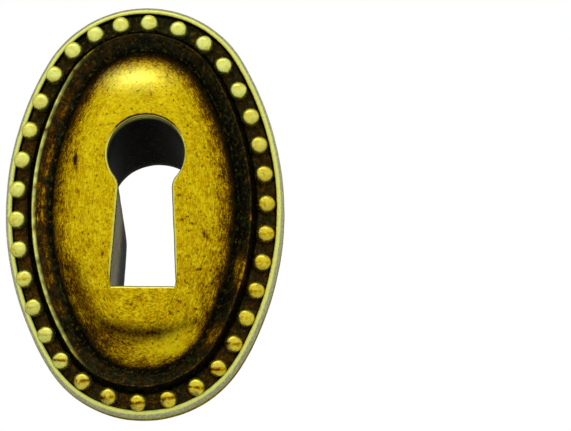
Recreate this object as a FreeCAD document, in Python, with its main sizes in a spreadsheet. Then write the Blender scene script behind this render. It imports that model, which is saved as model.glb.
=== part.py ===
"""Keyhole escutcheon: an oval rosette with a row of beads, cast in one piece with a fluted barrel.

The front of the rosette faces -Y, its flat back lies in the plane y = 0 and the barrel points to +Y.
The round end of the keyhole is up, +Z. Lengths are millimetres.
"""
import math
import os

import FreeCAD
import Part
import Sketcher

os.makedirs("parts", exist_ok=True)

SIZES = {
    # oval outline: two end arcs and two long side arcs that meet without a corner
    "half_width": 12.8,
    "half_height": 19.35,
    "end_radius": 10.4,
    # edge of the rosette
    "rim_height": 2.0,
    "front_bevel": 0.35,
    "back_bevel": 0.25,
    "rim_inset": 0.64,
    # sunk band of the beads and the raised line round its inner side
    "floor_height": 1.45,
    "ring_shift": 0.2,
    "wall_inset": 2.2,
    "wall_slope": 22.0,
    "crest_height": 2.75,
    "crest_width": 0.1,
    "moat_depth": 0.65,
    "moat_width": 1.35,
    # raised middle
    "crown_inset": 4.1,
    "crown_slope": 45.0,
    "crown_height": 4.5,
    "crown_round": 4.2,
    # beads
    "bead_count": 34,
    "bead_inset": 1.4,
    "bead_sides": 12,
    "bead_radius": 0.79,
    "bead_height": 2.7,
    "bead_shoulder": 0.75,
    "bead_lean": 0.23,
    "bead_cap": 0.3,
    "bead_cap_lean": 0.28,
    "bead_start": 0.56,
    # keyhole
    "key_radius": 3.52,
    "key_neck": 2.41,
    "key_foot": 3.02,
    "key_top_wall": 1.13,
    "key_foot_wall": 1.32,
    "neck_round": 0.7,
    "foot_round": 0.3,
    "key_edge": 0.3,
    # barrel and its flutes
    "barrel_length": 15.0,
    "barrel_radius": 10.1,
    "barrel_taper": 0.6,
    "tip_round": 0.75,
    "neck_length": 0.85,
    "neck_slope": 0.35,
    "flute_count": 38,
    "flute_radius": 0.45,
    "flute_depth": 0.42,
    "flute_end": 1.0,
    "neck_relief": 0.06,
}


class Size:
    """A length kept twice: as a number and as the text of an expression on the sheet."""

    def __init__(self, value, text):
        self.value = value
        self.text = text

    def _with(self, other, sign, value):
        text = other.text if isinstance(other, Size) else str(other)
        return Size(value, "(" + self.text + " " + sign + " " + text + ")")

    def __add__(self, other):
        return self._with(other, "+", self.value + number(other))

    def __sub__(self, other):
        return self._with(other, "-", self.value - number(other))

    def __mul__(self, other):
        return self._with(other, "*", self.value * number(other))

    def __truediv__(self, other):
        return self._with(other, "/", self.value / number(other))

    def __neg__(self):
        return Size(-self.value, "(0 - " + self.text + ")")


def number(item):
    """Gives the plain number of a Size or of a number."""
    return item.value if isinstance(item, Size) else float(item)


def size(name):
    """Gives the Size of one named cell."""
    return Size(float(SIZES[name]), "Data." + name)


def root(item):
    """Square root of a Size."""
    return Size(math.sqrt(item.value), "sqrt(" + item.text + ")")


def tangent_of(item):
    """Tangent of an angle in degrees."""
    return Size(math.tan(math.radians(item.value)), "tan(" + item.text + " * 1deg)")


ZERO = Size(0.0, "0")

doc = FreeCAD.newDocument("escutcheon")
sheet = doc.addObject("Spreadsheet::Sheet", "Data")
for row, (name, value) in enumerate(SIZES.items(), start=1):
    sheet.set("A%d" % row, name)
    sheet.set("B%d" % row, str(value))
    sheet.setAlias("B%d" % row, name)
doc.recompute()


def origin_item(body, role):
    """Finds a plane or an axis of the body's own origin by its role."""
    for item in body.Origin.OriginFeatures:
        if item.Role == role:
            return item
    raise RuntimeError("no " + role)


def new_sketch(body, name, plane, lift=None):
    """Adds a sketch on one of the body's origin planes.

    lift: distance from the plane along its normal.
    """
    sketch = body.newObject("Sketcher::SketchObject", name)
    sketch.AttachmentSupport = [(origin_item(body, plane), "")]
    sketch.MapMode = "FlatFace"
    if lift is not None:
        sketch.AttachmentOffset.Base = FreeCAD.Vector(0, 0, lift.value)
        sketch.setExpression(".AttachmentOffset.Base.z", lift.text)
    doc.recompute()
    return sketch


def bind(sketch, index, item):
    """Ties one constraint of a sketch to the sheet."""
    sketch.setExpression("Constraints[%d]" % index, item.text)


def pin(sketch, geometry, point, across, up):
    """Places a point of a sketch by its distances from the sketch's origin."""
    for kind, axis, item in (("DistanceX", -2, across), ("DistanceY", -1, up)):
        if abs(item.value) < 1e-9:
            sketch.addConstraint(Sketcher.Constraint("PointOnObject", geometry, point, axis))
        elif item.value > 0:
            at = sketch.addConstraint(Sketcher.Constraint(kind, -1, 1, geometry, point, item.value))
            bind(sketch, at, item)
        else:
            at = sketch.addConstraint(Sketcher.Constraint(kind, geometry, point, -1, 1, -item.value))
            bind(sketch, at, -item)


def set_radius(sketch, geometry, item):
    """Sets the radius of an arc or circle from the sheet."""
    at = sketch.addConstraint(Sketcher.Constraint("Radius", geometry, item.value))
    bind(sketch, at, item)


# centres and radii of the outline; every other oval has the same centres and smaller radii
end_centre = size("half_height") - size("end_radius")
narrow = size("half_width") - size("end_radius")
side_centre = (end_centre * end_centre - narrow * narrow) / (narrow * 2)
side_radius = size("half_width") + side_centre


def add_oval(sketch, inset, shift):
    """Draws the oval that lies inset inside the outline, its middle at shift."""
    middle = shift.value
    end = size("end_radius") - inset
    side = side_radius - inset
    turn = math.atan2(side_centre.value, end_centre.value)
    half = math.pi / 2
    up = FreeCAD.Vector(0, 0, 1)

    def arc(x, y, radius, start, stop):
        circle = Part.Circle(FreeCAD.Vector(middle + x, y, 0), up, radius)
        return sketch.addGeometry(Part.ArcOfCircle(circle, start, stop), False)

    top = arc(0, end_centre.value, end.value, half - turn, half + turn)
    left = arc(side_centre.value, 0, side.value, half + turn, 3 * half - turn)
    bottom = arc(0, -end_centre.value, end.value, 3 * half - turn, 3 * half + turn)
    right = arc(-side_centre.value, 0, side.value, -half + turn, half - turn)
    pin(sketch, top, 3, shift, end_centre)
    pin(sketch, bottom, 3, shift, -end_centre)
    set_radius(sketch, top, end)
    sketch.addConstraint(Sketcher.Constraint("Equal", top, bottom))
    set_radius(sketch, right, side)
    sketch.addConstraint(Sketcher.Constraint("Equal", right, left))
    for first, second in ((top, left), (left, bottom), (bottom, right), (right, top)):
        sketch.addConstraint(Sketcher.Constraint("Tangent", first, 2, second, 1))


def add_chain(sketch, points):
    """Draws a closed chain of straight lines through points given as pairs of Sizes."""
    lines = []
    for index, (across, up) in enumerate(points):
        ahead = points[(index + 1) % len(points)]
        start = FreeCAD.Vector(across.value, up.value, 0)
        stop = FreeCAD.Vector(ahead[0].value, ahead[1].value, 0)
        lines.append(sketch.addGeometry(Part.LineSegment(start, stop), False))
    for index, line in enumerate(lines):
        ahead = lines[(index + 1) % len(lines)]
        sketch.addConstraint(Sketcher.Constraint("Coincident", line, 2, ahead, 1))
        pin(sketch, line, 1, points[index][0], points[index][1])
    return lines


def check(feature, grows):
    """Recomputes and stops where a feature failed or worked in the wrong direction."""
    doc.recompute()
    if "Invalid" in feature.State or "Error" in feature.State:
        raise RuntimeError(feature.Name + " failed")
    if feature.Shape.isNull() or not feature.Shape.isValid():
        raise RuntimeError(feature.Name + " has no valid shape")
    base = getattr(feature, "BaseFeature", None)
    if base is not None and grows is not None:
        change = feature.Shape.Volume - base.Shape.Volume
        if grows != (change > 0) or abs(change) < 1e-4:
            raise RuntimeError(feature.Name + " changed the volume by %.4f" % change)
    return feature


def pad(body, name, sketch, length, slope=None):
    """Adds a pad; with a slope it narrows by that angle."""
    feature = body.newObject("PartDesign::Pad", name)
    feature.Profile = sketch
    feature.Length = length.value
    feature.setExpression("Length", length.text)
    if slope is not None:
        feature.TaperAngle = -slope.value
        feature.setExpression("TaperAngle", "0 - " + slope.text)
    sketch.Visibility = False
    return check(feature, True)


def pocket(body, name, sketch, depth, slope=None):
    """Cuts a pocket; with a slope it narrows by that angle."""
    feature = body.newObject("PartDesign::Pocket", name)
    feature.Profile = sketch
    feature.Length = depth.value
    feature.setExpression("Length", depth.text)
    if slope is not None:
        feature.TaperAngle = -slope.value
        feature.setExpression("TaperAngle", "0 - " + slope.text)
    sketch.Visibility = False
    return check(feature, False)


def edges(feature, test):
    """Names the edges of a feature whose middle point passes the test."""
    names = []
    for index, edge in enumerate(feature.Shape.Edges, start=1):
        middle = edge.valueAt((edge.FirstParameter + edge.LastParameter) / 2)
        if test(edge, middle):
            names.append("Edge%d" % index)
    return names


def fillet(body, name, base, names, radius):
    """Rounds the named edges of the base feature."""
    if not names:
        raise RuntimeError(name + " found no edges")
    feature = body.newObject("PartDesign::Fillet", name)
    feature.Base = (base, names)
    feature.Radius = radius.value
    feature.setExpression("Radius", radius.text)
    return check(feature, None)


def chamfer(body, name, base, names, width):
    """Bevels the named edges of the base feature."""
    if not names:
        raise RuntimeError(name + " found no edges")
    feature = body.newObject("PartDesign::Chamfer", name)
    feature.Base = (base, names)
    feature.Size = width.value
    feature.setExpression("Size", width.text)
    return check(feature, None)


body = doc.addObject("PartDesign::Body", "Rosette")
body.Label = "rosette_and_barrel"

# plate with its bevelled edges
outline = new_sketch(body, "Outline", "XZ_Plane")
add_oval(outline, ZERO, ZERO)
plate = pad(body, "Plate", outline, size("rim_height"))
front_loop = edges(plate, lambda edge, middle: abs(middle.y + SIZES["rim_height"]) < 1e-6)
beveled = chamfer(body, "FrontEdge", plate, front_loop, size("front_bevel"))
back_loop = edges(beveled, lambda edge, middle: abs(middle.y) < 1e-6)
chamfer(body, "BackEdge", beveled, back_loop, size("back_bevel"))

# sunk floor inside the rim
panel = new_sketch(body, "PanelOutline", "XZ_Plane", size("rim_height"))
add_oval(panel, size("rim_inset"), ZERO)
pocket(body, "Panel", panel, size("rim_height") - size("floor_height"))

# sloping wall up to the raised line, and the shallow moat inside it
shift = -size("ring_shift")
wall = new_sketch(body, "WallOutline", "XZ_Plane", size("floor_height"))
add_oval(wall, size("wall_inset"), shift)
wall_height = size("crest_height") - size("floor_height")
pad(body, "Wall", wall, wall_height, size("wall_slope"))

moat = new_sketch(body, "MoatOutline", "XZ_Plane", size("crest_height"))
wall_run = wall_height * tangent_of(size("wall_slope"))
moat_inset = size("wall_inset") + wall_run + size("crest_width")
add_oval(moat, moat_inset, shift)
moat_slope = Size(
    math.degrees(math.atan(SIZES["moat_width"] / SIZES["moat_depth"])),
    "(atan(Data.moat_width / Data.moat_depth) / 1deg)",
)
pocket(body, "Moat", moat, size("moat_depth"), moat_slope)

# raised middle: a sloping flank that turns over into the top in a broad round
crown = new_sketch(body, "CrownOutline", "XZ_Plane", size("floor_height"))
moat_floor = size("crest_height") - size("moat_depth")
flank_run = (moat_floor - size("floor_height")) * tangent_of(size("crown_slope"))
add_oval(crown, size("crown_inset") - flank_run, ZERO)
crown_rise = size("crown_height") - size("floor_height")
crown_pad = pad(body, "Crown", crown, crown_rise, size("crown_slope"))

crown_loop = edges(crown_pad, lambda edge, middle: abs(middle.y + SIZES["crown_height"]) < 1e-6)
fillet(body, "Shoulder", crown_pad, crown_loop, size("crown_round"))

# barrel: a plain neck behind the plate, then the fluted length that tapers to a rounded end
crest = size("barrel_radius")
tip = crest - size("barrel_taper")
length = size("barrel_length")
groove_bottom = crest - size("flute_depth")
neck = groove_bottom - size("neck_relief")
rib_start = size("neck_length") + size("neck_slope")
tip_round = size("tip_round")
profile = new_sketch(body, "BarrelProfile", "YZ_Plane")
add_chain(profile, [
    (-size("floor_height") / 2, ZERO),
    (-size("floor_height") / 2, neck),
    (size("neck_length"), neck),
    (rib_start, crest),
    (length - tip_round, tip),
    (length - tip_round * 0.3, tip - tip_round * 0.3),
    (length, tip - tip_round),
    (length, ZERO),
])
barrel = body.newObject("PartDesign::Revolution", "Barrel")
barrel.Profile = profile
barrel.ReferenceAxis = (origin_item(body, "Y_Axis"), [""])
barrel.Angle = 360
profile.Visibility = False
check(barrel, True)

# one flute, cut by an eight-sided bar that leans in and leaves the metal before the end
fall = (crest - tip) / (length - tip_round - rib_start)
run_out = length - size("flute_end")
axis_start = groove_bottom + size("flute_radius")
axis_end = tip + fall * (size("flute_end") - tip_round) + size("flute_radius")
lean = (axis_start - axis_end) / (run_out - rib_start)
first = size("neck_length") / 2
bar_height = axis_start + lean * (rib_start - first)
flute_sketch = new_sketch(body, "FluteProfile", "XZ_Plane")
angle = FreeCAD.Rotation(FreeCAD.Vector(-1, 0, 0), math.degrees(math.atan(lean.value)))
place = FreeCAD.Vector(0, bar_height.value, -first.value)
flute_sketch.AttachmentOffset = FreeCAD.Placement(place, angle)
flute_sketch.setExpression(".AttachmentOffset.Base.y", bar_height.text)
flute_sketch.setExpression(".AttachmentOffset.Base.z", "0 - " + first.text)
flute_sketch.setExpression(".AttachmentOffset.Rotation.Angle", "atan(" + lean.text + ")")
bar = size("flute_radius")
facet = bar * root(size("flute_radius") / (size("flute_radius") * 2))
add_chain(flute_sketch, [
    (-bar, bar),
    (-bar, ZERO),
    (-facet, -facet),
    (ZERO, -bar),
    (facet, -facet),
    (bar, ZERO),
    (bar, bar),
])
flute = pocket(body, "Flute", flute_sketch, length)
flutes = body.newObject("PartDesign::PolarPattern", "Flutes")
flutes.Originals = [flute]
flutes.Axis = (origin_item(body, "Y_Axis"), [""])
flutes.Angle = 360
flutes.Occurrences = int(SIZES["flute_count"])
flutes.setExpression("Occurrences", "Data.flute_count")
body.Tip = flutes
check(flutes, False)

# keyhole, straight through rosette and barrel; its ends leave a wall inside the barrel's end
key_centre = tip - size("key_top_wall") - size("key_radius")
key_reach = tip - size("key_foot_wall")
key_bottom = root(key_reach * key_reach - size("key_foot") * size("key_foot"))
key = new_sketch(body, "Keyhole", "XZ_Plane", size("crown_height") + 1)


def add_keyhole(sketch):
    """Draws a round top on a slot that widens towards its foot."""
    radius = size("key_radius")
    drop = root(radius * radius - size("key_neck") * size("key_neck"))
    middle = key_centre
    left = FreeCAD.Vector(-size("key_neck").value, (middle - drop).value, 0)
    right = FreeCAD.Vector(size("key_neck").value, (middle - drop).value, 0)
    foot_right = FreeCAD.Vector(size("key_foot").value, -key_bottom.value, 0)
    foot_left = FreeCAD.Vector(-size("key_foot").value, -key_bottom.value, 0)
    circle = Part.Circle(FreeCAD.Vector(0, middle.value, 0), FreeCAD.Vector(0, 0, 1), radius.value)
    start = circle.parameter(right)
    stop = circle.parameter(left)
    if start > stop:
        start -= 2 * math.pi
    arc = sketch.addGeometry(Part.ArcOfCircle(circle, start, stop), False)
    side_left = sketch.addGeometry(Part.LineSegment(left, foot_left), False)
    foot = sketch.addGeometry(Part.LineSegment(foot_left, foot_right), False)
    side_right = sketch.addGeometry(Part.LineSegment(foot_right, right), False)
    chain = (arc, side_left, foot, side_right)
    for index, line in enumerate(chain):
        ahead = chain[(index + 1) % len(chain)]
        sketch.addConstraint(Sketcher.Constraint("Coincident", line, 2, ahead, 1))
    pin(sketch, arc, 3, ZERO, middle)
    set_radius(sketch, arc, radius)
    pin(sketch, foot, 1, -size("key_foot"), -key_bottom)
    pin(sketch, foot, 2, size("key_foot"), -key_bottom)
    neck_width = size("key_neck") * 2
    width = sketch.addConstraint(Sketcher.Constraint("DistanceX", arc, 2, arc, 1, neck_width.value))
    bind(sketch, width, neck_width)
    sketch.addConstraint(Sketcher.Constraint("Horizontal", arc, 2, arc, 1))


add_keyhole(key)
hole = pocket(body, "KeyholeCut", key, size("crown_height") + size("barrel_length") + 2)


def runs_through(edge, middle):
    """Picks the long straight corners of the keyhole."""
    inside = math.hypot(middle.x, middle.z) < key_reach.value + SIZES["key_foot_wall"] / 2
    rise = abs(edge.Vertexes[0].Y - edge.Vertexes[-1].Y)
    return inside and rise > SIZES["barrel_length"]


def at_neck(edge, middle):
    return runs_through(edge, middle) and middle.z > 0


def at_foot(edge, middle):
    return runs_through(edge, middle) and middle.z < 0


hole = fillet(body, "NeckCorners", hole, edges(hole, at_neck), size("neck_round"))
hole = fillet(body, "FootCorners", hole, edges(hole, at_foot), size("foot_round"))


def on_key_front(edge, middle):
    """Picks the front edge of the keyhole."""
    across = abs(middle.x) < SIZES["key_radius"] + 0.1
    top = key_centre.value + SIZES["key_radius"] + 0.1
    along = -key_bottom.value - 0.1 < middle.z < top
    return across and along and -middle.y > SIZES["crest_height"]


hole = chamfer(body, "KeyholeEdge", hole, edges(hole, on_key_front), size("key_edge"))

# row of beads, equally spaced along an oval inside the rim


def oval_point(inset, run):
    """Gives the point at a run along the oval, clockwise from the top as seen from the front."""
    end = SIZES["end_radius"] - inset
    side = side_radius.value - inset
    turn = math.atan2(side_centre.value, end_centre.value)
    on_end = end * turn
    quarter = on_end + side * (math.pi / 2 - turn)
    run = run % (4 * quarter)
    part = int(run // quarter)
    rest = run - part * quarter
    if part % 2:
        rest = quarter - rest
    if rest < on_end:
        angle = rest / end
        across = end * math.sin(angle)
        up = end_centre.value + end * math.cos(angle)
    else:
        angle = turn + (rest - on_end) / side
        across = side * math.sin(angle) - side_centre.value
        up = side * math.cos(angle)
    across *= 1 if part < 2 else -1
    up *= 1 if part in (0, 3) else -1
    return across, up, 4 * quarter


# one bead: a twelve-sided stud that narrows in two steps to its worn cap
bead_base = size("floor_height") / 2
bead = doc.addObject("PartDesign::Body", "Bead")
bead.Label = "bead"
stud = bead.newObject("PartDesign::AdditivePrism", "Stud")
stud.AttachmentSupport = [(origin_item(bead, "XZ_Plane"), "")]
stud.MapMode = "FlatFace"
stud.setExpression(".AttachmentOffset.Base.z", bead_base.text)
stud.setExpression("Polygon", "Data.bead_sides")
stud.setExpression("Circumradius", "Data.bead_radius")
stud.setExpression("Height", (size("bead_height") - bead_base).text)
dome = check(stud, None)
for name, depth, lean in (("Shoulder", "bead_shoulder", "bead_lean"), ("Cap", "bead_cap", "bead_cap_lean")):
    loop = edges(dome, lambda edge, middle: abs(middle.y + SIZES["bead_height"]) < 1e-6)
    dome = chamfer(bead, "Bead" + name, dome, loop, size(depth))
    dome.ChamferType = "Two distances"
    dome.setExpression("Size2", "Data." + lean)
    check(dome, False)

# the row: the same bead at equal steps along an oval inside the rim
count = int(SIZES["bead_count"])
around = oval_point(SIZES["bead_inset"], 0)[2]
row = []
for index in range(count):
    run = SIZES["bead_start"] + index * around / count
    across, up, _ = oval_point(SIZES["bead_inset"], run)
    copy = doc.addObject("App::Link", "Bead%02d" % (index + 1))
    copy.LinkedObject = bead
    copy.Placement.Base = FreeCAD.Vector(across + shift.value, 0, up)
    row.append(copy)

casting = doc.addObject("Part::MultiFuse", "Escutcheon")
casting.Label = "escutcheon"
casting.Shapes = [body] + row
doc.recompute()

for item in doc.Objects:
    if "Invalid" in item.State or "Error" in item.State:
        raise RuntimeError(item.Name + " is not in order")
if casting.Shape.isNull() or not casting.Shape.isValid() or len(casting.Shape.Solids) != 1:
    raise RuntimeError("the casting is not one valid solid")
if casting.Shape.Volume <= body.Shape.Volume:
    raise RuntimeError("the beads add no metal")
casting.Shape.exportStep("parts/" + casting.Label + ".step")
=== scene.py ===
"""Keyhole escutcheon: one brass casting, blackened and rubbed back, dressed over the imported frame.

Lengths in the classes are millimetres; a finished mesh is in metres, in the frame of the solids:
the rosette faces -Y, its back lies in y = 0, the barrel points to +Y and the round end is up, +Z.
"""

import logging
import math
from dataclasses import dataclass, field
from enum import Enum
from functools import partial

import bmesh
import bpy
from mathutils import Matrix, Vector, noise


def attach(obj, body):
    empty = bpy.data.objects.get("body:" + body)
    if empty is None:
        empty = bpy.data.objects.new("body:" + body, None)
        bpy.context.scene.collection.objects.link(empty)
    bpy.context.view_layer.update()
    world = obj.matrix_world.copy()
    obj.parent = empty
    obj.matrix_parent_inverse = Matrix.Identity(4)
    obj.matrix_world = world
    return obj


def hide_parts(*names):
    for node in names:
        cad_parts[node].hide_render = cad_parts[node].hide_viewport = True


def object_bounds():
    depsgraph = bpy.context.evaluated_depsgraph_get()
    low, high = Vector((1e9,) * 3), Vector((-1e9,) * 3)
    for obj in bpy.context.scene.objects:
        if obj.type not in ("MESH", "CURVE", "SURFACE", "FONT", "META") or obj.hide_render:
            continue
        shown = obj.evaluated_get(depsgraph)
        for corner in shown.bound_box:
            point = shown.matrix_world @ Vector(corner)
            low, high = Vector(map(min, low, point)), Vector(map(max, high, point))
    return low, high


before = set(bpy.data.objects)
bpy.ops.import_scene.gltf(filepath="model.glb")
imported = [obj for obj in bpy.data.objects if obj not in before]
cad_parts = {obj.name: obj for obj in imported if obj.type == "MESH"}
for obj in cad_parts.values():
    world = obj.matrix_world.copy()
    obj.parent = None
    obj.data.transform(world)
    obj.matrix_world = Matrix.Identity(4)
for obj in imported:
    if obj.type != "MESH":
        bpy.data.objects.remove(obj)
cad_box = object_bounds()

MM = 0.001
HALF_WIDTH = 12.8
HALF_HEIGHT = 19.35
FRONT = -4.5
BARREL_LENGTH = 15.0
# Vertex attributes: how far a point is rubbed, how pale its painted highlights make it, how far the
# painted reflection band darkens it, its place in millimetres for the rubbing streaks, and its place on its
# bead.
FLOAT_LAYERS = ("rub", "pale", "shade")
VECTOR_LAYERS = ("grain", "bead")
OFF_THE_BEADS = Vector((0.0, 9.0, 0.0))
SEED = 7
log = logging.getLogger("escutcheon")


class Side(Enum):
    """Which way a stretch of the rosette's ring faces; each side is rubbed differently, and the darker crown
    flanks on the right and top are partly painted shade.
    """

    LEFT = (-1.0, 0.0)
    RIGHT = (1.0, 0.0)
    TOP = (0.0, 1.0)
    BOTTOM = (0.0, -1.0)


def smooth(low: float, high: float, value: float) -> float:
    """Eases from 0 at low to 1 at high.

    Args:
        low: value where the result is 0.
        high: value where the result is 1.
        value: value to place between them.

    Returns:
        A number from 0 to 1.
    """
    t = min(1.0, max(0.0, (value - low) / (high - low)))
    return t * t * (3 - 2 * t)


def lerp(start: float, stop: float, t: float) -> float:
    """Mixes two numbers by t."""
    return start + (stop - start) * t


def from_table(rows: tuple[tuple[float, float], ...], value: float) -> float:
    """Reads a piecewise linear table.

    Args:
        rows: pairs of position and result, positions rising.
        value: position to read.

    Returns:
        The result there, held flat outside the table.
    """
    if value <= rows[0][0]:
        return rows[0][1]
    for (low, first), (high, last) in zip(rows, rows[1:]):
        if value <= high:
            return lerp(first, last, (value - low) / (high - low))
    return rows[-1][1]


@dataclass(frozen=True)
class Oval:
    """The rosette's outline: two end arcs and two long side arcs, with its concentric insets."""

    half_width: float = HALF_WIDTH
    half_height: float = HALF_HEIGHT
    end_radius: float = 10.4

    @property
    def end_centre(self) -> float:
        """Height of the upper end arc's centre."""
        return self.half_height - self.end_radius

    @property
    def side_centre(self) -> float:
        """Distance of a side arc's centre from the middle."""
        narrow = self.half_width - self.end_radius
        return (self.end_centre ** 2 - narrow ** 2) / (2 * narrow)

    @property
    def turn(self) -> float:
        """Angle that half an end arc spans."""
        return math.atan2(self.side_centre, self.end_centre)

    def quarter(self, inset: float) -> float:
        """Length of a quarter of the oval at an inset."""
        side = self.half_width + self.side_centre - inset
        return (self.end_radius - inset) * self.turn + side * (math.pi / 2 - self.turn)

    def at(self, fraction: float, inset: float, walk: float = 0.0) -> tuple[float, float]:
        """Finds a point of an inset oval.

        Args:
            fraction: share of the way round, clockwise from the top as seen from the front.
            inset: distance inside the outline.
            walk: inset of the oval along which the fraction is measured.

        Returns:
            The point's x and z.
        """
        end = self.end_radius - walk
        side = self.half_width + self.side_centre - walk
        quarter = self.quarter(walk)
        run = (fraction % 1.0) * 4 * quarter
        part = min(3, int(run // quarter))
        rest = run - part * quarter
        if part % 2:
            rest = quarter - rest
        if rest < end * self.turn:
            angle = rest / end
            reach = self.end_radius - inset
            x, z = reach * math.sin(angle), self.end_centre + reach * math.cos(angle)
        else:
            angle = self.turn + (rest - end * self.turn) / side
            reach = self.half_width + self.side_centre - inset
            x, z = reach * math.sin(angle) - self.side_centre, reach * math.cos(angle)
        return x if part < 2 else -x, z if part in (0, 3) else -z

    def inset_of(self, x: float, z: float) -> float:
        """Distance of a point inside the outline."""
        across, up = abs(x), abs(z)
        if math.atan2(across + self.side_centre, up) < self.turn:
            return self.end_radius - math.hypot(across, up - self.end_centre)
        return self.half_width + self.side_centre - math.hypot(across + self.side_centre, up)


@dataclass(frozen=True)
class Corner:
    """One corner of the rosette's section: inset, height, the radius it is cast with, and sideways shift."""

    inset: float
    height: float
    radius: float
    shift: float = 0.0


@dataclass(frozen=True)
class Station:
    """One ring of the rosette's section."""

    inset: float
    height: float
    shift: float


@dataclass
class Section:
    """The rosette's section from the edge of its back to the flat of its middle."""

    corners: tuple[Corner, ...] = (
        Corner(0.25, 0.0, 0.08),
        Corner(0.0, 0.25, 0.08),
        Corner(0.0, 1.66, 0.14),
        Corner(0.34, 2.0, 0.1),
        Corner(0.62, 2.0, 0.09),
        Corner(0.72, 1.45, 0.14),
        Corner(2.2, 1.45, 0.3, -0.2),
        Corner(2.7, 2.75, 0.08, -0.2),
        Corner(2.84, 2.75, 0.08, -0.2),
        Corner(4.14, 2.1, 0.16),
        Corner(6.5, -FRONT, 6.0),
        Corner(9.4, -FRONT, 0.0),
    )
    step: float = 0.16
    long_step: float = 1.3
    turn_step: float = 0.28
    wide_round: float = 1.0

    def _arc(self, before: Corner, here: Corner, after: Corner) -> list[tuple[float, float]]:
        """Rounds one corner.

        Args:
            before: the corner before it.
            here: the corner to round.
            after: the corner after it.

        Returns:
            Points from the start of the round to its end.
        """
        point = Vector((here.inset, here.height))
        back = Vector((before.inset, before.height)) - point
        ahead = Vector((after.inset, after.height)) - point
        half = back.angle(ahead) / 2
        share = 0.85 if here.radius > self.wide_round else 0.48
        reach = min(here.radius / math.tan(half), share * back.length, 0.98 * ahead.length)
        radius = reach * math.tan(half)
        middle = point + (back.normalized() + ahead.normalized()).normalized() * (radius / math.sin(half))
        first = point + back.normalized() * reach - middle
        last = point + ahead.normalized() * reach - middle
        turn = first.angle_signed(last)
        count = max(3, int(abs(turn) * radius / self.step) + 1, int(abs(turn) / self.turn_step) + 1)
        points = []
        for index in range(count + 1):
            spot = first.copy()
            spot.rotate(Matrix.Rotation(-turn * index / count, 2))
            points.append(tuple(middle + spot))
        return points

    def stations(self) -> list[Station]:
        """Lists the rings of the section, corners rounded and straight runs divided.

        Returns:
            The stations from the back edge inwards.
        """
        shifts = tuple(sorted({(corner.inset, corner.shift) for corner in self.corners}))
        points: list[tuple[float, float]] = []
        for index, here in enumerate(self.corners[1:-1], start=1):
            points += self._arc(self.corners[index - 1], here, self.corners[index + 1])
        points.append((self.corners[-1].inset, self.corners[-1].height))
        rings = [(self.corners[0].inset, self.corners[0].height)]
        for point in points:
            last = rings[-1]
            count = max(1, math.ceil(math.dist(last, point) / (self.step * self.long_step)))
            for part in range(1, count + 1):
                t = part / count
                rings.append((lerp(last[0], point[0], t), lerp(last[1], point[1], t)))
        return [Station(inset, height, from_table(shifts, inset)) for inset, height in rings]


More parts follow.
